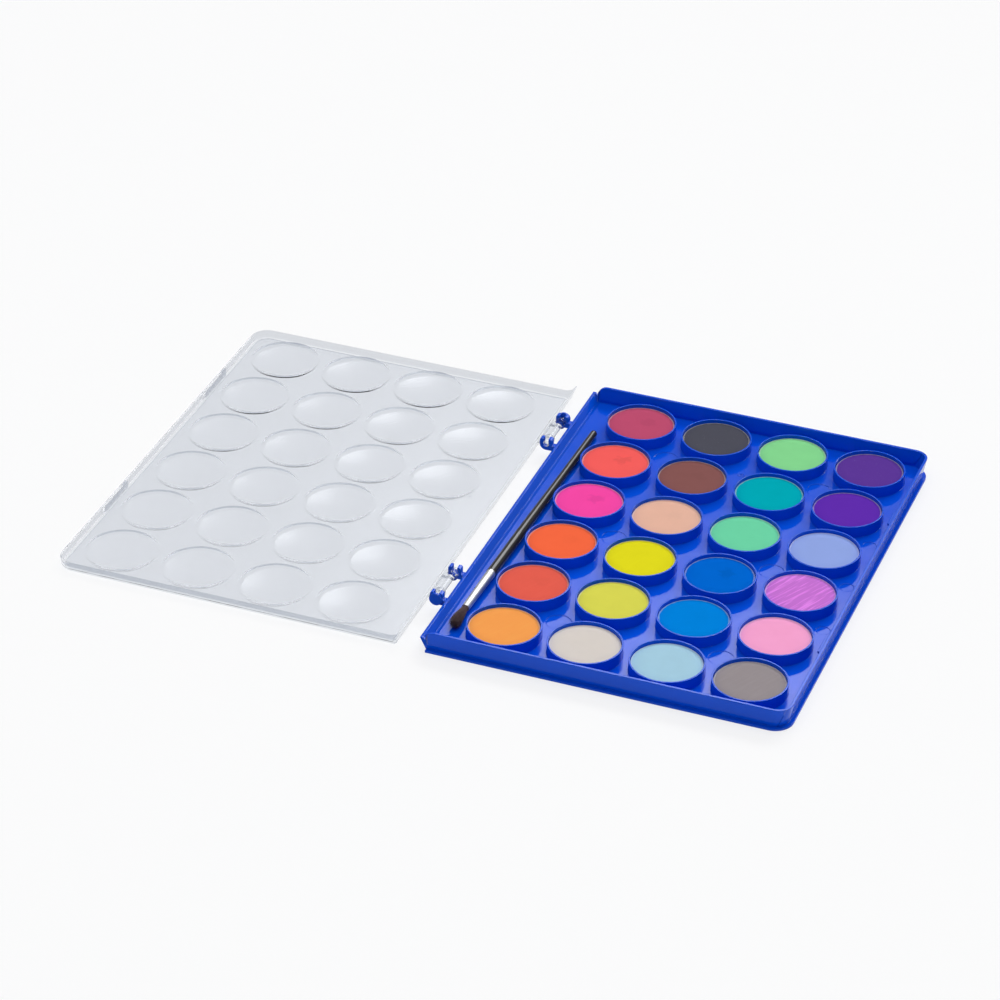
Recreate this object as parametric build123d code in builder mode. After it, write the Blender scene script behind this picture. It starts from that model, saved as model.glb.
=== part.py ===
from build123d import *
from math import cos, pi, sin, sqrt
import os

# Watercolour paint set: a shallow tray of paint tablets in round cups, a clear lid laid open beside it,
# and a brush in the trough along the hinge side. Millimetres, +X from the lid to the tray, +Y to the back,
# +Z up, with the origin on the table under the middle of the open set.

# Driving dimensions
TABLET_D = 31.9
TABLET_T = 4.2
COLUMNS = 4
ROWS = 6
PITCH_X = 37.6
PITCH_Y = 37.4
HALF_WIDTH = 115.0
FAR_SIDE = 172.1
GRID_FROM_HINGE = 92.1
CLOSED_HEIGHT = 14.8
BRUSH_LENGTH = 181.0

# Tray
WALL = 1.2
WALL_TOP = 10.5
WALL_DRAFT = 1.66
FLOOR_UNDER = 1.6
FLOOR_TOP = 2.8
FOOT_T = 1.1
FOOT_LIP = 0.4
FOOT_LAND = 1.8
LIP_TOP = 6.9
LIP_GAP = 4.3
BASE_GAP = 7.0
NOTCH_TOP = 5.9
NOTCH_GAP = 6.7
BOW_TOP = 4.0
CORNER_SHARP = 0.6
CORNER_BASE = 6.0
CORNER_FOOT = 9.0
CORNER_FAR = 7.0
CUP_R = 16.8
CUP_WALL = 0.75
CUP_TOP = 8.5
PIN_MARK_D = 11.5
SMALL_MARK_D = 6.5
SMALL_MARK_FROM_WALL = 7.3
PIN_MARK_DEPTH = 0.2
GATE_D = 4.4
GATE_T = 0.2
SPRUE_D = 1.6
SPRUE_T = 0.5
CATCH_W = 11.2
CATCH_TOP = 8.2
CATCH_REACH = 1.8
CATCH_T = 0.8

# Lid, as it lies open with its inside up
LID_WALL = 1.1
LID_STEP_TOP = 1.2
LID_STEP = 0.45
LID_DRAFT = 0.3
LID_RIM = 4.15
LID_LIP = 7.6
LID_LAND = 1.7
PLATE_UNDER = 0.6
PLATE_TOP = 1.8
CORNER_LID = 8.0
EAR_START = 10.5
EAR_END = 5.0
WELL_R = 16.95
WELL_CREST_R = 16.7
WELL_CREST_W = 0.5
WELL_CREST = 3.0
WELL_FLOOR_R = 15.2
WELL_FLOOR = 1.4
TONGUE_W = 24.5
TONGUE_T = 1.2
TONGUE_TOP = 6.2
TONGUE_GAP = 0.4
LID_GATE_FROM_HINGE = 19.3
LID_GATE_Y = 8.8

# Hinges: the lid's pins turn in cradles that stand out from the tray's spine
PIN_R = 1.5
PIN_CLEAR = 0.05
CRADLE_R = 3.0
CRADLE_W = 3.0
CRADLE_HORN = 2.9
CRADLE_MOUTH = 2.6
CRADLE_END = 1.0
INNER_CRADLE_Y = 60.0
OUTER_CRADLE_Y = 82.5
WEB_UNDER = 4.4
KNUCKLE_R = 2.6
KNUCKLE_W = 2.2
KNUCKLE_GAP = 0.4
BRIDGE_T = 1.0

# Brush
BRUSH_END = (16.4, 81.8, 4.85)
BRUSH_TIP = (13.7, -99.0, 6.0)
HANDLE_LENGTH = 135.0
HANDLE_END_R = 1.7
HANDLE_WAIST_R = 1.85
HANDLE_WAIST_AT = 45.0
HANDLE_BELLY_R = 2.4
HANDLE_BELLY_AT = 100.0
HANDLE_NECK_R = 2.3
TENON = 9.0
FERRULE_LENGTH = 31.0
FERRULE_R = 2.2
FERRULE_TIP_R = 1.85
FERRULE_T = 0.22
CRIMP_DEPTH = 0.15
CRIMP_AT = 4.0
CRIMP_PITCH = 2.0
STRANDS = 320
ROOT_R = 1.55
ROOT_DEPTH = 2.0
TUFT_SPREAD = 1.0
TIP_ROUNDING = 0.4
STRAND_ROOT_R = 0.07
STRAND_TIP_R = 0.09

COLOURS = [
    "crimson", "black", "light_green", "violet",
    "coral", "brown", "teal", "purple",
    "magenta", "peach", "mint", "periwinkle",
    "orange_red", "yellow", "blue", "orchid",
    "brick_red", "lemon", "light_blue", "pink",
    "orange", "off_white", "sky_blue", "grey",
]

# The hinge axis stands half the foot's lip off the middle, so that the open set is centred on the origin
HINGE_X = -FOOT_LIP / 2
HINGE_Z = CLOSED_HEIGHT / 2
GRID_X = HINGE_X + GRID_FROM_HINGE
CATCH_Y = 1.5 * PITCH_Y
KNUCKLES_FROM = INNER_CRADLE_Y + CRADLE_W / 2 + KNUCKLE_GAP
KNUCKLES_TO = OUTER_CRADLE_Y - CRADLE_W / 2 - KNUCKLE_GAP
PIN_FROM = INNER_CRADLE_Y - CRADLE_W / 2 + KNUCKLE_GAP
PIN_TO = OUTER_CRADLE_Y + CRADLE_W / 2 - KNUCKLE_GAP / 2
HINGE_SIDES = (-1, 1)
GOLDEN_ANGLE = pi * (3 - sqrt(5))
ON_FLOOR = (Align.CENTER, Align.CENTER, Align.MIN)


def outline(height, near, far, half, near_radius, far_radius):
    """Rounded rectangle at a height, from its near side at the hinge; x is counted from the hinge axis."""
    with BuildSketch(Plane.XY.offset(height)) as shape:
        with Locations((HINGE_X + (near + far) / 2, 0)):
            Rectangle(abs(far - near), 2 * half)
        corners = shape.vertices().sort_by(lambda corner: abs(corner.X - HINGE_X))
        fillet(corners[2:], far_radius)
        fillet(corners[:2], near_radius)
    return shape.sketch


def tray_section(height, inset=0.0, near_radius=CORNER_SHARP):
    """Section through the tray's walls, which lean out to the top, and to the lip on the hinge side."""
    lean = WALL_DRAFT * (1 - height / WALL_TOP)
    near = BASE_GAP - (BASE_GAP - LIP_GAP) * height / LIP_TOP
    far = FAR_SIDE - lean - inset
    return outline(height, near + inset, far, HALF_WIDTH - lean - inset, near_radius, CORNER_FAR - inset)


def lid_section(height, inset=0.0, near_radius=CORNER_SHARP):
    """Section through the open lid's walls, which lean out up to the rim."""
    lean = LID_DRAFT * max(0.0, 1 - height / LID_RIM) + inset
    near = BASE_GAP - (BASE_GAP - LIP_GAP) * height / LID_LIP
    half = HALF_WIDTH - lean
    return outline(height, -near - inset, lean - FAR_SIDE, half, near_radius, CORNER_LID - inset)


# Side views, drawn looking along the hinge, which both mouldings extrude in several places
with BuildSketch(Plane.XZ) as catch:
    catch_x = HINGE_X + FAR_SIDE - WALL - CATCH_REACH
    with BuildLine():
        Polyline((catch_x + CATCH_REACH, CATCH_TOP), (catch_x, CATCH_TOP), (catch_x, CATCH_TOP - CATCH_T),
                 (catch_x + CATCH_REACH, CATCH_TOP - CATCH_T - CATCH_REACH), close=True)
    make_face()

# Open ring that stands on a web from the tray's spine, and the slot that the pin snaps into
with BuildSketch(Plane.XZ) as cradle:
    with Locations((HINGE_X, HINGE_Z)):
        Circle(CRADLE_R)
        Rectangle(2 * CRADLE_R, CRADLE_HORN, align=(Align.CENTER, Align.MIN))
    fillet(cradle.vertices().group_by(Axis.Y)[-1], CRADLE_R / 3)
    with Locations((HINGE_X, WEB_UNDER)):
        Rectangle(BASE_GAP - WALL, LIP_TOP - WEB_UNDER, align=Align.MIN)
    with Locations((HINGE_X, HINGE_Z)):
        Circle(PIN_R + PIN_CLEAR, mode=Mode.SUBTRACT)
        Rectangle(CRADLE_MOUTH, 2 * CRADLE_HORN, align=(Align.CENTER, Align.MIN), mode=Mode.SUBTRACT)

with BuildSketch(Plane.XZ) as cradle_end:
    with Locations((HINGE_X, HINGE_Z)):
        Circle(CRADLE_R)

# Round knuckle on an arm from the lid's lip, the thin bridge between two knuckles, and the pin
with BuildSketch(Plane.XZ) as knuckle:
    with Locations((HINGE_X, HINGE_Z)):
        Circle(KNUCKLE_R)
    with Locations((HINGE_X, LID_LIP)):
        Rectangle(LIP_GAP + LID_WALL, KNUCKLE_R, align=Align.MAX)

with BuildSketch(Plane.XZ) as bridge:
    with Locations((HINGE_X, HINGE_Z)):
        Rectangle(LIP_GAP + LID_WALL, BRIDGE_T, align=Align.MAX)

with BuildSketch(Plane.XZ) as pin:
    with Locations((HINGE_X, HINGE_Z)):
        Circle(PIN_R)

# Tray: thin walls on a foot, with the spine's wall leaning out to a lip that ends in points
with BuildPart() as tray:
    loft([tray_section(0, near_radius=CORNER_BASE), tray_section(BOW_TOP)], ruled=True)
    loft([tray_section(BOW_TOP), tray_section(WALL_TOP)], ruled=True)
    foot = outline(0, BASE_GAP, FAR_SIDE + FOOT_LIP, HALF_WIDTH + FOOT_LIP, CORNER_BASE, CORNER_FOOT)
    extrude(foot, amount=FOOT_T)
    loft([tray_section(FLOOR_TOP, WALL), tray_section(WALL_TOP + 1, WALL)], ruled=True, mode=Mode.SUBTRACT)
    under_far = FAR_SIDE - WALL_DRAFT - FOOT_LAND
    under_half = HALF_WIDTH - WALL_DRAFT - FOOT_LAND
    under = outline(0, BASE_GAP + FOOT_LAND, under_far, under_half, CORNER_BASE - FOOT_LAND, CORNER_FAR)
    extrude(under, amount=FLOOR_UNDER, mode=Mode.SUBTRACT)

    # The end walls fall in a quarter round to a notch behind the spine's lip
    fall = WALL_TOP - NOTCH_TOP
    with BuildSketch(Plane.XZ) as above_lip:
        with BuildLine():
            start = HINGE_X + NOTCH_GAP
            drop = Line((HINGE_X + NOTCH_GAP - 1, LIP_TOP), (start, NOTCH_TOP))
            round_off = CenterArc((start + fall, NOTCH_TOP), fall, 180, -90)
            Polyline(round_off @ 1, (start + fall, 2 * WALL_TOP), (HINGE_X, 2 * WALL_TOP),
                     (HINGE_X, LIP_TOP), drop @ 0)
        make_face()
    extrude(amount=2 * HALF_WIDTH, both=True, mode=Mode.SUBTRACT)

    # Thin cups for the tablets
    with BuildSketch(Plane.XY.offset(FLOOR_TOP)) as cups:
        with Locations((GRID_X, 0)):
            with GridLocations(PITCH_X, PITCH_Y, COLUMNS, ROWS):
                Circle(CUP_R)
                Circle(CUP_R - CUP_WALL, mode=Mode.SUBTRACT)
    extrude(amount=CUP_TOP - FLOOR_TOP)

    # Shallow round marks of the mould's ejector pins, between the cups and along the far wall
    with BuildSketch(Plane.XY.offset(FLOOR_TOP)) as pin_marks:
        with Locations((GRID_X, 0)):
            with GridLocations(2 * PITCH_X, 2 * PITCH_Y, COLUMNS // 2, ROWS // 2):
                Circle(PIN_MARK_D / 2)
        with Locations((HINGE_X + FAR_SIDE - SMALL_MARK_FROM_WALL, 0)):
            with GridLocations(1, PITCH_Y, 1, ROWS // 2):
                Circle(SMALL_MARK_D / 2)
    extrude(amount=-PIN_MARK_DEPTH, mode=Mode.SUBTRACT)

    # Mark of the gate where the plastic ran in, with the stub of its sprue
    with Locations((GRID_X, 2 * PITCH_Y, FLOOR_TOP)):
        Cylinder(GATE_D / 2, GATE_T, align=ON_FLOOR)
        Cylinder(SPRUE_D / 2, SPRUE_T, align=ON_FLOOR)

    # Catches on the inside of the far wall, under the closed lid's tongues, and the hinge's four cradles
    for side in HINGE_SIDES:
        extrude(Location((0, side * CATCH_Y, 0)) * catch.sketch, amount=CATCH_W / 2, both=True)
        for centre in (INNER_CRADLE_Y, OUTER_CRADLE_Y):
            extrude(Location((0, side * centre, 0)) * cradle.sketch, amount=CRADLE_W / 2, both=True)
        closed_end = Location((0, side * (OUTER_CRADLE_Y + (CRADLE_W + CRADLE_END) / 2), 0))
        extrude(closed_end * cradle_end.sketch, amount=CRADLE_END / 2, both=True)
tray.part.label = "tray"

# Raised crest round a mixing well, at the origin
with BuildPart() as well_crest:
    with BuildSketch(Plane.XZ) as crest_profile:
        with BuildLine():
            Polyline((WELL_FLOOR_R, WELL_FLOOR), (WELL_CREST_R - WELL_CREST_W, WELL_CREST),
                     (WELL_CREST_R, WELL_CREST), (WELL_R, PLATE_TOP), (WELL_R, WELL_FLOOR), close=True)
        make_face()
    revolve(axis=Axis.Z)

# Lid: a plate with mixing wells inside a stepped rim, with ears beside the tray's spine when it is shut
with BuildPart() as lid:
    loft([lid_section(0, LID_STEP, CORNER_BASE), lid_section(LID_STEP_TOP, LID_STEP, CORNER_BASE / 2)],
         ruled=True)
    loft([lid_section(LID_STEP_TOP, near_radius=CORNER_BASE / 2), lid_section(LID_RIM)], ruled=True)
    loft([lid_section(LID_RIM), lid_section(LID_LIP)], ruled=True)
    loft([lid_section(PLATE_TOP, LID_WALL), lid_section(LID_RIM, LID_WALL)], ruled=True, mode=Mode.SUBTRACT)
    loft([lid_section(LID_RIM, LID_WALL), lid_section(LID_LIP + 1, LID_WALL)], ruled=True,
         mode=Mode.SUBTRACT)
    extrude(lid_section(0, LID_LAND + LID_STEP, CORNER_BASE - LID_LAND), amount=PLATE_UNDER,
            mode=Mode.SUBTRACT)

    # The rim is level, and climbs in an arc to the ears at the hinge
    run = EAR_START - EAR_END
    rise = LID_LIP - LID_RIM
    ear_radius = (run ** 2 + rise ** 2) / (2 * rise)
    with BuildSketch(Plane.XZ) as above_rim:
        with BuildLine():
            climb = TangentArc((HINGE_X - EAR_START, LID_RIM), (HINGE_X - EAR_END, LID_LIP), tangent=(1, 0))
            Polyline(climb @ 1, (HINGE_X - EAR_END, 2 * LID_LIP), (HINGE_X - 2 * FAR_SIDE, 2 * LID_LIP),
                     (HINGE_X - 2 * FAR_SIDE, LID_RIM), climb @ 0)
        make_face()
    extrude(amount=2 * HALF_WIDTH, both=True, mode=Mode.SUBTRACT)

    # Wells over the cups' places when the lid is shut
    with BuildSketch(Plane.XY.offset(WELL_FLOOR)) as wells:
        with Locations((HINGE_X - GRID_FROM_HINGE, 0)):
            with GridLocations(PITCH_X, PITCH_Y, COLUMNS, ROWS):
                Circle(WELL_R)
    extrude(amount=PLATE_TOP - WELL_FLOOR, mode=Mode.SUBTRACT)
    with Locations((HINGE_X - GRID_FROM_HINGE, 0)):
        with GridLocations(PITCH_X, PITCH_Y, COLUMNS, ROWS):
            add(well_crest.part)

    # Stub of the sprue, on the plate between the wells and the hinge
    with Locations((HINGE_X - LID_GATE_FROM_HINGE, LID_GATE_Y, PLATE_TOP)):
        Cylinder(SPRUE_D / 2, SPRUE_T, align=ON_FLOOR)

    # Tongues that reach inside the tray's far wall when the lid is shut
    wall_inside = FAR_SIDE - WALL_DRAFT * (1 - (CLOSED_HEIGHT - TONGUE_TOP) / WALL_TOP) - WALL
    tongue_x = HINGE_X - wall_inside + TONGUE_GAP + TONGUE_T / 2
    with BuildSketch(Plane.XY.offset(PLATE_TOP)) as tongues:
        with GridLocations(1, 2 * CATCH_Y, 1, 2):
            with Locations((tongue_x, 0)):
                Rectangle(TONGUE_T, TONGUE_W)
    extrude(amount=TONGUE_TOP - PLATE_TOP)

    # Hinge pins, each held by two round knuckles on arms and a thin bridge to the lid's lip
    for side in HINGE_SIDES:
        middle = Location((0, side * (KNUCKLES_FROM + KNUCKLES_TO) / 2, 0))
        extrude(middle * bridge.sketch, amount=(KNUCKLES_TO - KNUCKLES_FROM) / 2, both=True)
        for centre in (KNUCKLES_FROM + KNUCKLE_W / 2, KNUCKLES_TO - KNUCKLE_W / 2):
            extrude(Location((0, side * centre, 0)) * knuckle.sketch, amount=KNUCKLE_W / 2, both=True)
        pin_middle = Location((0, side * (PIN_FROM + PIN_TO) / 2, 0))
        extrude(pin_middle * pin.sketch, amount=(PIN_TO - PIN_FROM) / 2, both=True)
lid.part.label = "lid"


# Brush, drawn from the handle's end along its own axis
brush_axis = Vector(*BRUSH_TIP) - Vector(*BRUSH_END)
brush_start = Vector(*BRUSH_END) + Vector(HINGE_X, 0, 0)
brush_line = Axis(brush_start, brush_axis)
across = brush_axis.cross(Vector(0, 0, 1)).normalized()
# Sketch plane through the axis: its x is the radius, its y runs along the brush
brush_plane = Plane(origin=brush_start, x_dir=across, z_dir=across.cross(brush_axis))

# The tenon is the part of the handle inside the ferrule, and fills it
tenon_r = FERRULE_R - FERRULE_T
tenon_tip_r = tenon_r + (ROOT_R - tenon_r) * TENON / FERRULE_LENGTH

with BuildPart() as brush_handle:
    with BuildSketch(brush_plane) as handle_profile:
        with BuildLine():
            end_round = TangentArc((0, 0), (HANDLE_END_R, HANDLE_END_R), tangent=(1, 0))
            Polyline(end_round @ 1, (HANDLE_WAIST_R, HANDLE_WAIST_AT), (HANDLE_BELLY_R, HANDLE_BELLY_AT),
                     (HANDLE_NECK_R, HANDLE_LENGTH), (tenon_r, HANDLE_LENGTH),
                     (tenon_tip_r, HANDLE_LENGTH + TENON), (0, HANDLE_LENGTH + TENON), (0, 0))
        make_face()
    revolve(axis=brush_line)
brush_handle.part.label = "brush_handle"

with BuildPart() as brush_ferrule:
    with BuildSketch(brush_plane) as ferrule_profile:
        with BuildLine():
            Polyline((tenon_r, HANDLE_LENGTH), (FERRULE_R, HANDLE_LENGTH),
                     (FERRULE_TIP_R, HANDLE_LENGTH + FERRULE_LENGTH),
                     (ROOT_R, HANDLE_LENGTH + FERRULE_LENGTH), close=True)
        make_face()
        first_crimp = HANDLE_LENGTH + CRIMP_AT
        with Locations((FERRULE_R, first_crimp), (FERRULE_R, first_crimp + CRIMP_PITCH)):
            RegularPolygon(CRIMP_DEPTH, 4, mode=Mode.SUBTRACT)
    revolve(axis=brush_line)
brush_ferrule.part.label = "brush_ferrule"


def strand(number, frame):
    """One three-sided bristle, which leans out from its root in the ferrule; the outer ones are shorter."""
    share = sqrt((number + 0.5) / STRANDS)
    angle = number * GOLDEN_ANGLE
    length = (BRUSH_LENGTH - HANDLE_LENGTH - FERRULE_LENGTH) * (1 - TIP_ROUNDING * share ** 3)
    rings = []
    for along, radius in ((0, STRAND_ROOT_R), (length, STRAND_TIP_R)):
        out = share * (ROOT_R - 2 * STRAND_ROOT_R + TUFT_SPREAD * along / length)
        middle = Vector(out * cos(angle), out * sin(angle), along)
        turns = [angle + k * 2 * pi / 3 for k in range(3)]
        corners = [middle + Vector(radius * cos(turn), radius * sin(turn), 0) for turn in turns]
        rings.append(Wire.make_polygon([frame.from_local_coords(c) for c in corners], close=True))
    return Solid.make_loft(rings, ruled=True)


# Bristles on the slice of the tuft that the ferrule holds
tuft_start = brush_line.position + brush_line.direction * (HANDLE_LENGTH + FERRULE_LENGTH)
tuft_frame = Plane(origin=tuft_start, z_dir=brush_axis)
root_plane = Plane(origin=tuft_start - brush_line.direction * ROOT_DEPTH, z_dir=brush_axis)
strands = [strand(number, tuft_frame.offset(-ROOT_DEPTH / 4)) for number in range(STRANDS)]
with BuildPart() as brush_hair:
    with BuildSketch(root_plane) as root:
        Circle(ROOT_R)
    extrude(amount=ROOT_DEPTH)
    add(strands)
brush_hair.part.label = "brush_hair"

os.makedirs("parts", exist_ok=True)
for piece in (tray, lid, brush_handle, brush_ferrule, brush_hair):
    export_step(piece.part, f"parts/{piece.part.label}.step")

# Tablets, row by row from the back, each row from the hinge side
for index, colour in enumerate(COLOURS):
    row, column = divmod(index, COLUMNS)
    centre = (GRID_X + (column - (COLUMNS - 1) / 2) * PITCH_X, ((ROWS - 1) / 2 - row) * PITCH_Y)
    with BuildPart() as tablet:
        with BuildSketch(Plane.XY.offset(FLOOR_TOP)):
            with Locations(centre):
                Circle(TABLET_D / 2)
        extrude(amount=TABLET_T)
    tablet.part.label = f"tablet_{colour}"
    export_step(tablet.part, f"parts/{tablet.part.label}.step")
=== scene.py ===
import random
from math import cos, pi, radians, sin, sqrt

import bmesh
import bpy
from mathutils import Matrix, Vector


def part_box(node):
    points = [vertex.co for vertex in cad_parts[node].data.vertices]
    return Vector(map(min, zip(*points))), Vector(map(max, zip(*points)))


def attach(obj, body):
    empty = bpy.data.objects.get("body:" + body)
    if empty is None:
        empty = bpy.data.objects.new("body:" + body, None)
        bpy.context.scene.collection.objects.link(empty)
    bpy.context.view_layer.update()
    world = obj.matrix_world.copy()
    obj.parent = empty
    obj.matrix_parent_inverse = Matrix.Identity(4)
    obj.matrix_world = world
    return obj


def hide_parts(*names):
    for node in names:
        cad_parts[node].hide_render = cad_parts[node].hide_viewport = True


bl_info = {
    "name": "Watercolour paint set",
    "version": (1, 0, 0),
    "blender": (4, 5, 0),
    "location": "View3D > Sidebar > Paint Set",
    "description": "Dresses a watercolour set: blue tray, clear lid, paint tablets and brush",
    "category": "Object",
}

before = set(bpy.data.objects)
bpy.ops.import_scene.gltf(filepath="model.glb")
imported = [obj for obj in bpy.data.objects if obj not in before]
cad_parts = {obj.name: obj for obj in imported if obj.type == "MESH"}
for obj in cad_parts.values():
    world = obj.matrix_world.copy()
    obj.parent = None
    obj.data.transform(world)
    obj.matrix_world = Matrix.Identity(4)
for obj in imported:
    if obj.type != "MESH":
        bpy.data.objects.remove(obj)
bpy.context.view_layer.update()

MM = 0.001  # a millimetre, in metres
METRE = 1000  # a metre, in millimetres

# The camera: the point it looks at, and its sensor's width in millimetres
CAMERA_AIM = Vector((-0.00292, 0.004132, 0.0072))
SENSOR_WIDTH = 36.0

# The lamp above hangs here, and is a square with this side
LAMP_PLACE = Vector((0.1, 0.2, 1.9))
LAMP_SIDE = 1.5

# The window's top: angles above the top of its sill at which the glow has ended and begins to fade
WINDOW_TOP = (radians(14), radians(9))
# Its left and right sides: their turn from the x axis, and how far past each the glow begins and is
# full, as the sine of an angle
WINDOW_LEFT = (radians(22), -0.01, 0.03)
WINDOW_RIGHT = (radians(35), -0.03, 0.1)
DAYLIGHT = (0.96, 0.975, 1.0, 1)
PAPER = (0.92, 0.92, 0.92, 1)

# Most of a noise pattern lies between these
NOISE_SPAN = (0.3, 0.7)

# Index of refraction of the moulded plastic, and of the lid as modelled
PLASTIC_IOR = 1.49
LID_IOR = 1.11

# The spine along the tray's hinge side: places in millimetres from the tray's edge and its foot,
# and slopes in millimetres for each millimetre
LAND_START = 7.0  # its land
LAND_END = 8.6
SPINE_FOOT = 10.3  # the foot of its inner wall
FOOT_BLEND = 0.5  # over which the wall's lean ends
COVE_END = 11.7  # the cove from the foot to the trough's floor
TROUGH_FLOOR = 2.85
LEAN_TOP = 12.0  # above the rim, where the lean stops growing
TROUGH_HALF = 112.5  # half of the trough's length
END_BLEND = 0.3  # over which land and cove end beyond it
LAND_FALL = 0.3  # of the land, towards the lid
SPINE_SLOPE = 0.6  # of the inner wall, back from upright
COVE_FALL = 0.65  # of the cove, away from the spine

# The lid's mixing wells, in millimetres: the radius of a floor and how much lower its middle is
WELL_FLOOR = 15.2
WELL_HOLLOW = 0.45
GRID_HALF = 2.0  # half of the grid's width, in pitches

# A tablet: how high the fine step in its edge is, as a share of the edge's rounding, then in
# millimetres where the painted highlight along its edge begins and is full, the middle of a smudge,
# and how far from there it fades
STEP_RISE = 0.4
EDGE_HIGHLIGHT = (15.1, 15.4)
SMUDGE_SPOT = (2.5, 3.5, 0.0)
SMUDGE_FADE = (2.4, 4.2)
SCRAPE_TURN = radians(65)

# Every tablet's colour, and the marks on its face: (smudge, specks, scrapes), each from 0 to 1
TABLETS = {
    "crimson": ((0.533, 0.080, 0.162), (0.5, 0.0, 0.0)),
    "black": ((0.082, 0.082, 0.105), (0.0, 0.6, 0.0)),
    "light_green": ((0.246, 0.694, 0.283), (0.0, 0.0, 0.0)),
    "violet": ((0.114, 0.042, 0.310), (0.0, 0.6, 0.0)),
    "coral": ((0.982, 0.122, 0.112), (1.0, 0.0, 0.0)),
    "brown": ((0.250, 0.098, 0.091), (0.3, 0.0, 0.0)),
    "teal": ((0.001, 0.407, 0.468), (0.2, 0.0, 0.0)),
    "purple": ((0.125, 0.028, 0.423), (0.0, 0.3, 0.0)),
    "magenta": ((0.982, 0.071, 0.386), (1.0, 0.0, 0.0)),
    "peach": ((0.823, 0.479, 0.356), (0.2, 0.0, 0.0)),
    "mint": ((0.162, 0.679, 0.386), (0.0, 0.0, 0.0)),
    "periwinkle": ((0.296, 0.397, 0.783), (0.0, 0.0, 0.0)),
    "orange_red": ((1.000, 0.147, 0.056), (0.2, 0.0, 0.0)),
    "yellow": ((0.791, 0.723, 0.015), (0.0, 0.0, 0.08)),
    "blue": ((0.001, 0.138, 0.631), (1.0, 0.0, 0.0)),
    "orchid": ((0.591, 0.174, 0.645), (0.0, 0.0, 1.0)),
    "brick_red": ((0.823, 0.120, 0.082), (0.2, 0.0, 0.08)),
    "lemon": ((0.723, 0.701, 0.091), (0.0, 0.0, 0.0)),
    "light_blue": ((0.001, 0.231, 0.716), (0.2, 0.0, 0.0)),
    "pink": ((0.991, 0.381, 0.631), (0.0, 0.0, 0.0)),
    "orange": ((1.000, 0.366, 0.089), (0.0, 0.0, 0.08)),
    "off_white": ((0.723, 0.658, 0.597), (0.0, 0.0, 0.0)),
    "sky_blue": ((0.397, 0.631, 0.753), (0.0, 0.0, 0.0)),
    "grey": ((0.323, 0.283, 0.287), (0.0, 0.0, 0.08)),
}

# The brush's axis, from the end of its handle to the tip of its hair
BRUSH_END = Vector((0.0162, 0.0818, 0.00485))
BRUSH_TIP = Vector((0.0135, -0.0990, 0.0060))

# A hair's line: (place along it, swelling of the tuft there, how far it strays in metres)
TUFT = ((0.0, 1.0, 0.0), (0.08, 1.0, 0.0), (0.35, 1.3, 0.00008), (0.7, 1.6, 0.00025),
        (1.0, 1.6, 0.0005))
HAIR_SEED = 7
GOLDEN_TURN = 3 - sqrt(5)  # in half turns, from one hair to the next
TUFT_ROUND = 0.06  # how much shorter the outermost hairs are
TUFT_RAGGED = 0.24  # how much shorter chance can make a hair
HAIR_TAPER = 0.6  # how much thinner a hair is at its tip


# Kinds of setting

def colour_prop(name, description, default):
    return bpy.props.FloatVectorProperty(name=name, description=description, subtype="COLOR",
                                         default=default, min=0.0, max=1.0)


def length_prop(name, description, default):
    return bpy.props.FloatProperty(name=name, description=description, unit="LENGTH",
                                   default=default)


def angle_prop(name, description, default):
    return bpy.props.FloatProperty(name=name, description=description, subtype="ANGLE",
                                   default=default)


def share_prop(name, description, default):
    return bpy.props.FloatProperty(name=name, description=description, subtype="FACTOR",
                                   default=default, min=0.0, max=1.0)


class StageSettings(bpy.types.PropertyGroup):
    lens: bpy.props.FloatProperty(name="Lens", description="Focal length, mm", unit="CAMERA",
                                  default=140.0)
    distance: length_prop("Distance", "From the camera to the point it looks at", 1.7922)
    azimuth: angle_prop("Azimuth", "Turn of the view about the vertical", -0.346115)
    elevation: angle_prop("Elevation", "Tilt of the view below level", 0.557187)
    roll: angle_prop("Roll", "Turn of the view about its own line", -0.021718)
    floor_size: length_prop("Floor", "Side of the square floor", 8.0)
    shadow: share_prop("Shadow", "How much of the object's shadow the pale floor shows", 0.25)
    room: share_prop("Room", "Brightness of the room's walls", 0.45)
    beyond: share_prop("Beyond", "Brightness of the room seen through the clear lid", 0.8)
    window: bpy.props.FloatProperty(name="Window", description="Brightness of the soft window",
                                    default=8.0)
    sill_low: angle_prop("Sill", "Height above level where the window's glow begins",
                         radians(31.0))
    sill_high: angle_prop("Sill's top", "Height above level where the window is fully bright",
                          radians(35.5))
    top_light: bpy.props.FloatProperty(name="Top light", description="Power of the lamp above, W",
                                       unit="POWER", default=11.5)


class TraySettings(bpy.types.PropertyGroup):
    colour: colour_prop("Plastic", "Moulded plastic of the tray", (0.001, 0.086, 0.710))
    edge: length_prop("Edge", "Rounding of the moulding's edges", 0.0004)


class LidSettings(bpy.types.PropertyGroup):
    colour: colour_prop("Plastic", "Clear plastic of the lid", (0.715, 0.735, 0.770))


class PaintSettings(bpy.types.PropertyGroup):
    grain: length_prop("Grain", "Size of the pressed paint's grain", 0.0004)
    edge: length_prop("Edge", "Rounding of a tablet's edge", 0.00025)


class BrushSettings(bpy.types.PropertyGroup):
    lacquer: colour_prop("Lacquer", "Lacquer of the handle", (0.022, 0.019, 0.017))
    metal: colour_prop("Metal", "Metal of the ferrule", (0.68, 0.68, 0.67))
    hair: colour_prop("Hair", "Hair of the tuft", (0.068, 0.029, 0.025))
    strands: bpy.props.IntProperty(name="Strands", description="Hairs in the tuft", default=900,
                                   min=100)
    hair_length: length_prop("Hair length", "From the ferrule to the longest hair's tip", 0.015)
    hair_root: length_prop("Root", "How deep the hairs stand in the ferrule", 0.0015)
    hair_radius: length_prop("Hair radius", "Half of one hair's thickness at its root", 0.00006)
    root_radius: length_prop("Tuft radius", "Half of the tuft's width in the ferrule", 0.00146)


# Shader helpers

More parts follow.
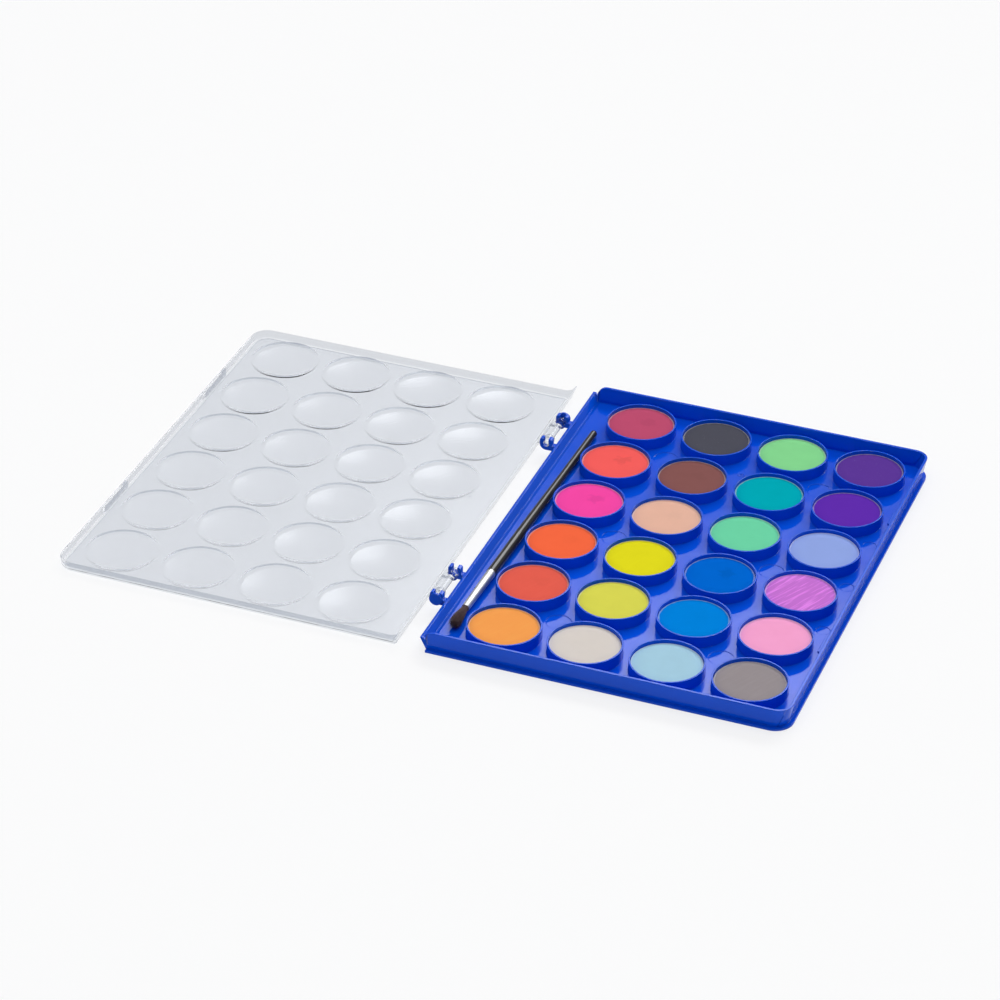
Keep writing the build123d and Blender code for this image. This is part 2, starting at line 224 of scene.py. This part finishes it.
class Shader:
    """A new material with a Principled shader, and short calls that add and join nodes."""

    def __init__(self, name):
        self.material = bpy.data.materials.new(name)
        self.material.use_nodes = True
        self.nodes = self.material.node_tree.nodes
        self.links = self.material.node_tree.links
        self.surface = self.nodes["Principled BSDF"]
        self.output = self.nodes["Material Output"]

    def node(self, kind, **values):
        made = self.nodes.new(kind)
        for key, value in values.items():
            setattr(made, key, value)
        return made

    def join(self, source, target):
        self.links.new(source, target)

    def give(self, values):
        """Sets numbers and colours on the surface's own sockets."""
        for name, value in values.items():
            self.surface.inputs[name].default_value = value

    def feed(self, name, source):
        self.join(source, self.surface.inputs[name])

    def cover(self, factor, shader):
        """Puts another shader in the surface's place, as far as factor says."""
        mixed = self.node("ShaderNodeMixShader")
        self.join(factor, mixed.inputs["Fac"])
        self.join(self.surface.outputs["BSDF"], mixed.inputs[1])
        self.join(shader, mixed.inputs[2])
        self.join(mixed.outputs["Shader"], self.output.inputs["Surface"])

    def place(self, centre=(0, 0, 0), scale=(1, 1, 1), turn=(0, 0, 0)):
        """Object coordinates in millimetres from centre, which is in metres, turned and scaled."""
        coords = self.node("ShaderNodeTexCoord")
        mapping = self.node("ShaderNodeMapping", vector_type="TEXTURE")
        mapping.inputs["Location"].default_value = centre
        mapping.inputs["Rotation"].default_value = turn
        mapping.inputs["Scale"].default_value = [MM / side for side in scale]
        self.join(coords.outputs["Object"], mapping.inputs["Vector"])
        return mapping.outputs["Vector"]

    def split(self, vector):
        """The x, y and z parts of a vector."""
        parts = self.node("ShaderNodeSeparateXYZ")
        self.join(vector, parts.inputs[0])
        return tuple(parts.outputs)

    def noise(self, vector, scale, detail, roughness=0.5):
        noise = self.node("ShaderNodeTexNoise")
        noise.inputs["Scale"].default_value = scale
        noise.inputs["Detail"].default_value = detail
        noise.inputs["Roughness"].default_value = roughness
        self.join(vector, noise.inputs["Vector"])
        return noise.outputs["Fac"]

    def remap(self, value, low, high, to_low=0.0, to_high=1.0):
        remap = self.node("ShaderNodeMapRange")
        limits = {"From Min": low, "From Max": high, "To Min": to_low, "To Max": to_high}
        for name, number in limits.items():
            remap.inputs[name].default_value = number
        self.join(value, remap.inputs["Value"])
        return remap.outputs["Result"]

    def math(self, operation, first, second=0.0):
        node = self.node("ShaderNodeMath", operation=operation)
        for socket, value in zip(node.inputs, (first, second)):
            if isinstance(value, (int, float)):
                socket.default_value = value
            else:
                self.join(value, socket)
        return node.outputs["Value"]

    def vector_math(self, operation, first, second=None, output="Vector"):
        node = self.node("ShaderNodeVectorMath", operation=operation)
        if second is not None:
            node.inputs[1].default_value = second
        self.join(first, node.inputs[0])
        return node.outputs[output]

    def mix(self, factor, first, second):
        """A mix of two colours, whose sockets on a Mix node come after those for other data."""
        mix = self.node("ShaderNodeMix", data_type="RGBA")
        sockets = (mix.inputs[0], mix.inputs[6], mix.inputs[7])
        for socket, value in zip(sockets, (factor, first, second)):
            if isinstance(value, bpy.types.NodeSocket):
                self.join(value, socket)
            else:
                socket.default_value = (*value, 1.0)
        return mix.outputs[2]

    def bump(self, height, distance, strength=1.0, under=None):
        bump = self.node("ShaderNodeBump")
        bump.inputs["Strength"].default_value = strength
        bump.inputs["Distance"].default_value = distance
        self.join(height, bump.inputs["Height"])
        if under is not None:
            self.join(under, bump.inputs["Normal"])
        self.feed("Normal", bump.outputs["Normal"])
        return bump.outputs["Normal"]


def shade(colour, factor):
    """A colour made darker or brighter."""
    return tuple(min(1.0, c * factor) for c in colour)


def tint(colour, share):
    """A colour mixed with a share of white."""
    return tuple(share + (1 - share) * c for c in colour)


def dress(piece, material):
    piece.data.materials.clear()
    piece.data.materials.append(material)


def deselect():
    if bpy.context.mode != "OBJECT":
        bpy.ops.object.mode_set(mode="OBJECT")
    bpy.ops.object.select_all(action="DESELECT")


# Stage

def view_axes(stage):
    """The camera's own axes: right, up and backwards."""
    ahead = Vector((sin(stage.azimuth) * cos(stage.elevation),
                    cos(stage.azimuth) * cos(stage.elevation), -sin(stage.elevation)))
    side = ahead.cross(Vector((0, 0, 1))).normalized()
    down = ahead.cross(side)
    right = side * cos(stage.roll) + down * sin(stage.roll)
    up = side * sin(stage.roll) - down * cos(stage.roll)
    return right, up, -ahead


def softbox(name, place, side, power):
    """A square lamp that shines on the object."""
    light = bpy.data.lights.new(name, "AREA")
    light.shape = "RECTANGLE"
    light.size = light.size_y = side
    light.energy = power
    lamp = bpy.data.objects.new(name, light)
    bpy.context.scene.collection.objects.link(lamp)
    lamp.location = place
    lamp.rotation_euler = (-place).to_track_quat("-Z", "Y").to_euler()


def glow(world, direction, low, high):
    """How far a ray points past a plane through the object, from 0 at low to 1 at high."""
    nodes, links = world.node_tree.nodes, world.node_tree.links
    coords = nodes.new("ShaderNodeTexCoord")
    towards = nodes.new("ShaderNodeVectorMath")
    towards.operation = "DOT_PRODUCT"
    towards.inputs[1].default_value = direction
    links.new(coords.outputs["Generated"], towards.inputs[0])
    spread = nodes.new("ShaderNodeMapRange")
    spread.interpolation_type = "SMOOTHSTEP"
    spread.inputs["From Min"].default_value = low
    spread.inputs["From Max"].default_value = high
    links.new(towards.outputs["Value"], spread.inputs["Value"])
    return spread.outputs["Result"]


def studio(stage):
    """An even room with a large soft window high behind the object."""
    world = bpy.data.worlds.new("studio")
    world.use_nodes = True
    nodes, links = world.node_tree.nodes, world.node_tree.links
    top_end, top_fade = WINDOW_TOP
    left, left_low, left_high = WINDOW_LEFT
    right, right_low, right_high = WINDOW_RIGHT
    edges = (glow(world, (0, 0, 1), sin(stage.sill_low), sin(stage.sill_high)),
             glow(world, (0, 0, -1), -sin(stage.sill_high + top_end),
                  -sin(stage.sill_high + top_fade)),
             glow(world, (cos(left), sin(left), 0), left_low, left_high),
             glow(world, (-cos(right), sin(right), 0), right_low, right_high))
    light = edges[0]
    for edge in edges[1:]:
        both = nodes.new("ShaderNodeMath")
        both.operation = "MULTIPLY"
        links.new(light, both.inputs[0])
        links.new(edge, both.inputs[1])
        light = both.outputs["Value"]
    level = nodes.new("ShaderNodeMapRange")
    level.inputs["To Min"].default_value = stage.room
    level.inputs["To Max"].default_value = stage.window
    links.new(light, level.inputs["Value"])
    path = nodes.new("ShaderNodeLightPath")
    seen = nodes.new("ShaderNodeMix")
    seen.inputs["B"].default_value = stage.beyond
    links.new(path.outputs["Is Transmission Ray"], seen.inputs["Factor"])
    links.new(level.outputs["Result"], seen.inputs["A"])
    background = nodes["Background"]
    background.inputs["Color"].default_value = DAYLIGHT
    links.new(seen.outputs["Result"], background.inputs["Strength"])
    return world


class PAINTSET_OT_stage(bpy.types.Operator):
    """Pale floor, soft light and the camera"""
    bl_idname = "paintset.stage"
    bl_label = "Stage"

    def execute(self, context):
        stage = context.scene.paintset_stage
        deselect()
        bpy.ops.mesh.primitive_plane_add(size=stage.floor_size, location=(0, 0, 0))
        floor = context.active_object
        floor.name = "floor"
        paper = Shader("paper")
        paper.give({"Base Color": PAPER, "Roughness": 0.9, "Specular IOR Level": 0.0})
        white = paper.node("ShaderNodeEmission")
        white.inputs["Color"].default_value = (1, 1, 1, 1)
        path = paper.node("ShaderNodeLightPath")
        seen = paper.math("MAXIMUM", path.outputs["Is Camera Ray"],
                          path.outputs["Is Transmission Ray"])
        seen = paper.math("MAXIMUM", seen, path.outputs["Is Glossy Ray"])
        paper.cover(paper.math("MULTIPLY", seen, 1 - stage.shadow), white.outputs["Emission"])
        dress(floor, paper.material)

        context.scene.world = studio(stage)
        softbox("top_light", LAMP_PLACE, LAMP_SIDE, stage.top_light)

        camera = bpy.data.objects.new("camera", bpy.data.cameras.new("camera"))
        context.scene.collection.objects.link(camera)
        camera.data.lens = stage.lens
        camera.data.sensor_width = SENSOR_WIDTH
        camera.data.clip_start = 0.05
        right, up, back = view_axes(stage)
        turn = Matrix((right, up, back)).transposed()
        camera.matrix_world = Matrix.Translation(CAMERA_AIM + back * stage.distance) @ turn.to_4x4()
        context.scene.camera = camera
        context.scene.view_settings.view_transform = "Standard"
        return {"FINISHED"}


# Mouldings

def spine_lean(plastic):
    """Height, in millimetres, that leans the spine's inner wall back and coves its foot."""
    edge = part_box("tray")[0]
    x, y, z = plastic.split(plastic.place(edge))
    spine = plastic.remap(x, SPINE_FOOT, SPINE_FOOT + FOOT_BLEND, 1.0, 0.0)
    rise = plastic.remap(z, TROUGH_FLOOR, LEAN_TOP, 0.0, SPINE_SLOPE * (TROUGH_FLOOR - LEAN_TOP))
    wall = plastic.math("MULTIPLY", spine, rise)
    land = plastic.remap(x, LAND_START, LAND_END, 0.0, LAND_FALL * (LAND_END - LAND_START))
    cove = plastic.remap(x, SPINE_FOOT, COVE_END, 0.0, COVE_FALL * (SPINE_FOOT - COVE_END))
    along = plastic.math("ABSOLUTE", plastic.math("SUBTRACT", y, -edge.y * METRE))
    inside = plastic.remap(along, TROUGH_HALF, TROUGH_HALF + END_BLEND, 1.0, 0.0)
    falls = plastic.math("MULTIPLY", plastic.math("ADD", land, cove), inside)
    return plastic.math("ADD", wall, falls)


class PAINTSET_OT_tray(bpy.types.Operator):
    """Glossy blue plastic on the tray"""
    bl_idname = "paintset.tray"
    bl_label = "Tray"

    def execute(self, context):
        tray = context.scene.paintset_tray
        plastic = Shader("tray_plastic")
        where = plastic.place()
        cloud = plastic.noise(where, scale=0.03, detail=2.0)
        colour = plastic.mix(cloud, shade(tray.colour, 0.92), shade(tray.colour, 1.08))
        plastic.feed("Base Color", colour)
        scuff = plastic.noise(where, scale=0.8, detail=4.0, roughness=0.6)
        plastic.feed("Roughness", plastic.remap(scuff, 0.35, 0.75, to_low=0.05, to_high=0.10))
        plastic.give({"IOR": PLASTIC_IOR, "Specular IOR Level": 0.16})
        rounding = plastic.node("ShaderNodeBevel", samples=6)
        rounding.inputs["Radius"].default_value = tray.edge
        wave = plastic.noise(plastic.place(scale=(1, 0.6, 1)), scale=0.09, detail=1.0)
        level = plastic.bump(wave, distance=0.2 * MM, strength=0.25,
                             under=rounding.outputs["Normal"])
        plastic.bump(spine_lean(plastic), distance=MM, under=level)
        dress(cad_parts["tray"], plastic.material)
        return {"FINISHED"}


def tablet_grid():
    """The middle of the tablets' grid, and its pitch along x and y."""
    first, beside, before, last = (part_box(f"tablet_{name}")
                                   for name in ("crimson", "black", "coral", "grey"))
    middle = ((first[0] + first[1]) + (last[0] + last[1])) / 4
    return middle, (beside[0].x - first[0].x, first[0].y - before[0].y)


def well_hollow(plastic):
    """Height, in millimetres, of the lid's wells over their middles: each is a shallow bowl."""
    middle, (pitch_x, pitch_y) = tablet_grid()
    pitch_x, pitch_y = pitch_x * METRE, pitch_y * METRE
    # Laid open, the lid mirrors the tray about the hinge, midway between their facing edges
    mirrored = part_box("tray")[0].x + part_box("lid")[1].x - middle.x
    coords = plastic.place((mirrored, middle.y, 0), (1 / pitch_x, 1 / pitch_y, 1))
    cell = plastic.vector_math("FRACTION", coords)
    offset = plastic.vector_math("SUBTRACT", cell, (0.5, 0.5, 0.0))
    offset = plastic.vector_math("MULTIPLY", offset, (pitch_x, pitch_y, 0))
    reach = plastic.vector_math("LENGTH", offset, output="Value")
    share = plastic.remap(reach, 0.0, WELL_FLOOR)
    bowl = plastic.math("MULTIPLY", plastic.math("POWER", share, 2.0), WELL_HOLLOW)
    across = plastic.math("ABSOLUTE", plastic.split(coords)[0])
    land = plastic.math("GREATER_THAN", across, GRID_HALF)
    return plastic.math("MAXIMUM", bowl, plastic.math("MULTIPLY", land, WELL_HOLLOW))


class PAINTSET_OT_lid(bpy.types.Operator):
    """Clear plastic on the lid, which lets the lamps through to the floor"""
    bl_idname = "paintset.lid"
    bl_label = "Lid"

    def execute(self, context):
        lid = context.scene.paintset_lid
        plastic = Shader("lid_plastic")
        # The lid is solid under its crests, so it bends light only a little and its gloss is a coat
        plastic.give({"Base Color": (*lid.colour, 1), "Transmission Weight": 1.0, "IOR": LID_IOR,
                      "Roughness": 0.08, "Coat Weight": 0.32, "Coat IOR": PLASTIC_IOR,
                      "Coat Roughness": 0.16})
        wave = plastic.noise(plastic.place(scale=(1, 0.7, 1)), scale=0.05, detail=2.0)
        level = plastic.bump(wave, distance=0.2 * MM, strength=0.2)
        plastic.feed("Coat Normal", plastic.bump(well_hollow(plastic), distance=MM, under=level))
        clear = plastic.node("ShaderNodeBsdfTransparent")
        clear.inputs["Color"].default_value = (*shade(lid.colour, 1.15), 1)
        path = plastic.node("ShaderNodeLightPath")
        plastic.cover(path.outputs["Is Shadow Ray"], clear.outputs["BSDF"])
        dress(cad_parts["lid"], plastic.material)
        return {"FINISHED"}


# Paint tablets

def paint(name, colour, marks, centre, grain, seed):
    """Pressed watercolour: matte and finely grained, with a painted highlight along its edge and
    its own marks.
    """
    smudge, specks, scrapes = marks
    cake = Shader(f"paint_{name}")
    where = cake.place(centre)
    drift = cake.place((centre[0], centre[1], centre[2] + seed))
    cloud = cake.noise(drift, scale=0.12, detail=3.0)
    body = cake.mix(cloud, shade(colour, 0.96), shade(colour, 1.05))

    # A painted highlight: the pressed edge is painted paler where its rounding catches the light
    flat = cake.vector_math("MULTIPLY", where, (1, 1, 0))
    radius = cake.vector_math("LENGTH", flat, output="Value")
    wobble = cake.remap(cake.noise(drift, scale=0.5, detail=2.0), *NOISE_SPAN, -0.15, 0.15)
    edge_highlight = cake.remap(cake.math("ADD", radius, wobble), *EDGE_HIGHLIGHT, to_high=0.7)
    body = cake.mix(edge_highlight, body, tint(colour, 0.4))

    if smudge:
        reach = cake.vector_math("DISTANCE", where, SMUDGE_SPOT, output="Value")
        ragged = cake.remap(cake.noise(drift, scale=0.3, detail=1.0), *NOISE_SPAN, -1.5, 1.5)
        stain = cake.remap(cake.math("ADD", reach, ragged), *SMUDGE_FADE, 0.4 * smudge, 0.0)
        body = cake.mix(stain, body, shade(colour, 0.72))
    if specks:
        dust = cake.noise(drift, scale=1.6, detail=2.0)
        dust = cake.remap(dust, 0.72, 0.78, to_high=0.5 * specks)
        body = cake.mix(dust, body, (0.75, 0.75, 0.78))
    if scrapes:
        drawn = cake.place(centre, scale=(0.05, 0.6, 1), turn=(0, 0, SCRAPE_TURN))
        lines = cake.noise(drawn, scale=1.2, detail=3.0)
        lines = cake.remap(lines, 0.48, 0.66, to_high=0.6 * scrapes)
        body = cake.mix(lines, body, shade(colour, 1.9))

    cake.feed("Base Color", body)
    cake.give({"Roughness": 0.85, "Specular IOR Level": 0.0})
    fine = cake.noise(where, scale=1 / (grain * METRE), detail=3.0, roughness=0.65)
    cake.bump(fine, distance=0.08 * MM, strength=0.5)
    return cake.material


def select_faces(piece, chosen):
    """In edit mode, selects only the faces that chosen picks."""
    bpy.ops.mesh.select_mode(type="FACE")
    bpy.ops.mesh.select_all(action="DESELECT")
    mesh = bmesh.from_edit_mesh(piece.data)
    for face in mesh.faces:
        face.select_set(chosen(face))
    bmesh.update_edit_mesh(piece.data)


def model_tablet(radius, thickness, edge):
    """A tablet on the origin: a soft edge, a fine step inside it and a barely hollow face."""
    deselect()
    bpy.ops.mesh.primitive_cylinder_add(vertices=96, radius=radius, depth=thickness,
                                        location=(0, 0, thickness / 2))
    tablet = bpy.context.active_object
    bpy.ops.object.transform_apply(location=True, rotation=False, scale=False)
    bpy.ops.object.mode_set(mode="EDIT")
    select_faces(tablet, lambda face: face.normal.z > 0.9)
    step, ring = STEP_RISE * edge, 0.3 * radius
    for width, rise in ((4 * edge, 0), (edge, step), (ring, -step), (ring, -step / 2)):
        bpy.ops.mesh.inset(thickness=width, depth=rise)
    bpy.ops.object.mode_set(mode="OBJECT")
    rounding = tablet.modifiers.new("rounding", "BEVEL")
    rounding.width = edge
    rounding.segments = 3
    rounding.limit_method = "ANGLE"
    rounding.angle_limit = radians(60)
    bpy.ops.object.modifier_apply(modifier=rounding.name)
    bpy.ops.object.shade_smooth_by_angle(angle=radians(50))
    return tablet


class PAINTSET_OT_tablets(bpy.types.Operator):
    """Pressed paint tablets, each with its own colour and marks"""
    bl_idname = "paintset.tablets"
    bl_label = "Tablets"

    def execute(self, context):
        settings = context.scene.paintset_paint
        low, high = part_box("tablet_crimson")
        thickness = high.z - low.z - STEP_RISE * settings.edge
        pattern = model_tablet((high.x - low.x) / 2, thickness, settings.edge)
        for seed, (name, (colour, marks)) in enumerate(TABLETS.items()):
            low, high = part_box(f"tablet_{name}")
            centre = Vector(((low.x + high.x) / 2, (low.y + high.y) / 2, low.z))
            tablet = bpy.data.objects.new(f"cake_{name}", pattern.data.copy())
            tablet.data.transform(Matrix.Translation(centre))
            context.scene.collection.objects.link(tablet)
            face = (centre.x, centre.y, high.z)
            dress(tablet, paint(name, colour, marks, face, settings.grain, seed))
            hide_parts(f"tablet_{name}")
            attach(tablet, "tray")
        bpy.data.objects.remove(pattern)
        return {"FINISHED"}


# Brush

class PAINTSET_OT_handle(bpy.types.Operator):
    """Dark lacquer on the brush's handle"""
    bl_idname = "paintset.handle"
    bl_label = "Brush handle"

    def execute(self, context):
        brush = context.scene.paintset_brush
        lacquer = Shader("handle_lacquer")
        along = lacquer.place(scale=(1, 0.05, 1))
        streaks = lacquer.noise(along, scale=1.5, detail=2.0)
        colour = lacquer.mix(streaks, shade(brush.lacquer, 0.8), shade(brush.lacquer, 1.6))
        lacquer.feed("Base Color", colour)
        lacquer.give({"Roughness": 0.12, "Specular IOR Level": 0.28})
        lacquer.bump(lacquer.noise(along, scale=2.0, detail=2.0), distance=0.05 * MM, strength=0.3)
        dress(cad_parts["brush_handle"], lacquer.material)
        return {"FINISHED"}


class PAINTSET_OT_ferrule(bpy.types.Operator):
    """Drawn metal on the brush's ferrule"""
    bl_idname = "paintset.ferrule"
    bl_label = "Brush ferrule"

    def execute(self, context):
        brush = context.scene.paintset_brush
        metal = Shader("ferrule_metal")
        metal.give({"Base Color": (*brush.metal, 1), "Metallic": 1.0})
        drawn = metal.noise(metal.place(scale=(1, 0.04, 1)), scale=6.0, detail=3.0)
        metal.feed("Roughness", metal.remap(drawn, *NOISE_SPAN, to_low=0.34, to_high=0.50))
        metal.bump(drawn, distance=0.03 * MM, strength=0.3)
        dress(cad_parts["brush_ferrule"], metal.material)
        return {"FINISHED"}


class PAINTSET_OT_hair(bpy.types.Operator):
    """The tuft of fine dark hairs"""
    bl_idname = "paintset.hair"
    bl_label = "Brush hair"

    def execute(self, context):
        brush = context.scene.paintset_brush
        along = (BRUSH_TIP - BRUSH_END).normalized()
        across = along.cross(Vector((0, 0, 1))).normalized()
        above = across.cross(along)
        root = BRUSH_TIP - along * (brush.hair_length + brush.hair_root)
        chance = random.Random(HAIR_SEED)
        strands = bpy.data.curves.new("tuft", "CURVE")
        strands.dimensions = "3D"
        strands.bevel_depth = brush.hair_radius
        strands.bevel_resolution = 0
        strands.use_fill_caps = True
        for number in range(brush.strands):
            share = sqrt((number + 0.5) / brush.strands)
            turn = number * pi * GOLDEN_TURN
            side = across * cos(turn) + above * sin(turn)
            stray = across * chance.gauss(0, 1) + above * chance.gauss(0, 1)
            reach = 1 - TUFT_ROUND * share ** 3 - TUFT_RAGGED * chance.random() ** 2
            spline = strands.splines.new("POLY")
            spline.points.add(len(TUFT) - 1)
            for point, (place, swell, lean) in zip(spline.points, TUFT):
                depth = brush.hair_root + brush.hair_length * reach * place if place else 0.0
                spot = (root + along * depth + side * share * brush.root_radius * swell
                        + stray * lean)
                point.co = (*spot, 1)
                point.radius = 1.0 - HAIR_TAPER * place
        tuft = bpy.data.objects.new("tuft", strands)
        context.scene.collection.objects.link(tuft)
        deselect()
        tuft.select_set(True)
        context.view_layer.objects.active = tuft
        bpy.ops.object.convert(target="MESH")
        tuft = context.active_object

        hair = Shader("hair")
        streaks = hair.noise(hair.place(scale=(1, 0.06, 1)), scale=5.0, detail=2.0)
        hair.feed("Base Color", hair.mix(streaks, shade(brush.hair, 0.3), shade(brush.hair, 2.6)))
        hair.give({"Roughness": 0.42})
        dress(tuft, hair.material)
        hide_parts("brush_hair")
        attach(tuft, "brush")
        return {"FINISHED"}


# Add-on

STEPS = (PAINTSET_OT_stage, PAINTSET_OT_tray, PAINTSET_OT_lid, PAINTSET_OT_tablets,
         PAINTSET_OT_handle, PAINTSET_OT_ferrule, PAINTSET_OT_hair)
SETTINGS = {"paintset_stage": StageSettings, "paintset_tray": TraySettings,
            "paintset_lid": LidSettings, "paintset_paint": PaintSettings,
            "paintset_brush": BrushSettings}


class PAINTSET_PT_panel(bpy.types.Panel):
    """The paint set's pieces and their sizes and colours"""
    bl_idname = "PAINTSET_PT_panel"
    bl_label = "Paint Set"
    bl_space_type = "VIEW_3D"
    bl_region_type = "UI"
    bl_category = "Paint Set"

    def draw(self, context):
        for step in STEPS:
            self.layout.operator(step.bl_idname)
        for name, settings in SETTINGS.items():
            box = self.layout.box()
            for key in settings.__annotations__:
                box.prop(getattr(context.scene, name), key)


def register():
    for name, settings in SETTINGS.items():
        bpy.utils.register_class(settings)
        setattr(bpy.types.Scene, name, bpy.props.PointerProperty(type=settings))
    for step in (*STEPS, PAINTSET_PT_panel):
        bpy.utils.register_class(step)


def unregister():
    for step in (*STEPS, PAINTSET_PT_panel):
        bpy.utils.unregister_class(step)
    for name, settings in SETTINGS.items():
        delattr(bpy.types.Scene, name)
        bpy.utils.unregister_class(settings)


def main():
    register()
    for step in STEPS:
        group, name = step.bl_idname.split(".")
        getattr(getattr(bpy.ops, group), name)()


if __name__ == "__main__":
    main()
